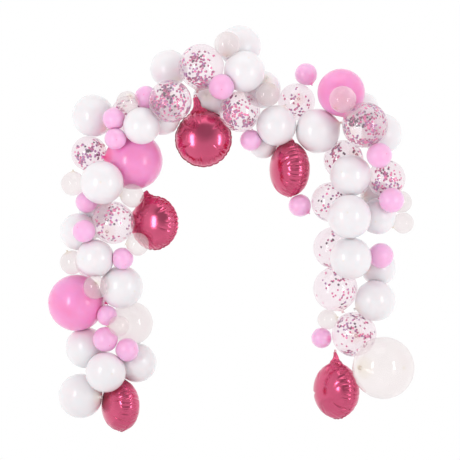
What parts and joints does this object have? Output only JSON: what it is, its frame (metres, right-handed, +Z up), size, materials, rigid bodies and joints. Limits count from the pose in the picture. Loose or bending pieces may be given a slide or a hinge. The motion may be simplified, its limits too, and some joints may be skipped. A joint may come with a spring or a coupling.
{
  "type": "balloon garland",
  "caption": "Arch-shaped garland of round latex, clear confetti and foil balloons pressed together, to fix on a wall around a doorway or a photo backdrop.",
  "frame": {"origin": "middle of the flat where the crown's rear white balloon presses on the wall", "axes": "+X to the right as one faces the garland, +Y into the wall, +Z up; the garland stands in front of the wall, at negative Y"},
  "size_m": [2.2037, 0.5517, 2.466],
  "materials": {
    "white_latex": "smooth, softly glossy",
    "light_pink_latex": "smooth, softly glossy",
    "hot_pink_latex": "smooth, softly glossy",
    "clear_latex": "clear, slightly milky, glossy",
    "confetti_latex": "clear, glossy, with confetti inside",
    "pink_foil": "polished rose-pink metallised film",
    "confetti": "thin metallic dots in pink and purple"
  },
  "bodies": {
    "root": {"left_foot_foil": "pink_foil", "left_foot_white_cluster": "white_latex", "left_foot_small_pink_pair": "light_pink_latex", "left_leg_white_cluster": "white_latex", "left_leg_confetti_low": "confetti_latex", "left_leg_clear": "clear_latex", "left_leg_big_pink": "hot_pink_latex", "left_leg_foil": "pink_foil", "left_leg_small_pair_outer": "clear_latex", "left_leg_small_clear_lower": "clear_latex", "left_leg_confetti_high": "confetti_latex", "left_leg_white_high": "white_latex", "left_leg_small_pink_middle": "light_pink_latex", "left_leg_small_pair_inner": "clear_latex", "left_leg_small_clear_front": "clear_latex", "left_leg_small_pair_low": "light_pink_latex", "left_shoulder_big_pink": "hot_pink_latex", "left_shoulder_white_outer": "white_latex", "left_shoulder_white_back": "white_latex", "left_shoulder_confetti_low": "confetti_latex", "left_shoulder_confetti_high": "confetti_latex", "left_shoulder_small_pair_high": "light_pink_latex", "left_shoulder_white_front": "white_latex", "left_shoulder_confetti_front": "confetti_latex", "left_shoulder_small_pink_pair": "light_pink_latex", "left_shoulder_small_clear_inner": "clear_latex", "crown_white_back": "white_latex", "crown_foil": "pink_foil", "right_shoulder_white_cluster": "white_latex", "crown_white_left": "white_latex", "crown_confetti_left": "confetti_latex", "crown_white_cluster": "white_latex", "crown_confetti_middle": "confetti_latex", "crown_small_pink_low": "light_pink_latex", "crown_confetti_right": "confetti_latex", "crown_small_pink_right": "light_pink_latex", "crown_small_clear_left": "clear_latex", "crown_small_pink_left": "light_pink_latex", "crown_small_clear_right": "clear_latex", "right_shoulder_foil": "pink_foil", "right_shoulder_white_pair": "white_latex", "right_shoulder_big_pink": "hot_pink_latex", "right_shoulder_confetti_low": "confetti_latex", "right_shoulder_small_pink_low": "light_pink_latex", "right_shoulder_confetti_front": "confetti_latex", "right_shoulder_small_clear": "clear_latex", "right_leg_white_cluster": "white_latex", "right_leg_confetti_outer": "confetti_latex", "right_leg_confetti_inner": "confetti_latex", "right_leg_confetti_pair": "confetti_latex", "right_foot_white_pair": "white_latex", "right_leg_white_high": "white_latex", "right_leg_small_clear_pair": "clear_latex", "right_leg_small_pink_high": "light_pink_latex", "right_leg_small_pink_middle": "light_pink_latex", "right_leg_small_pink_low": "light_pink_latex", "right_foot_confetti_low": "confetti_latex", "right_foot_small_pair": "clear_latex", "right_foot_foil": "pink_foil", "right_foot_big_clear": "clear_latex"}
  },
  "joints": []
}
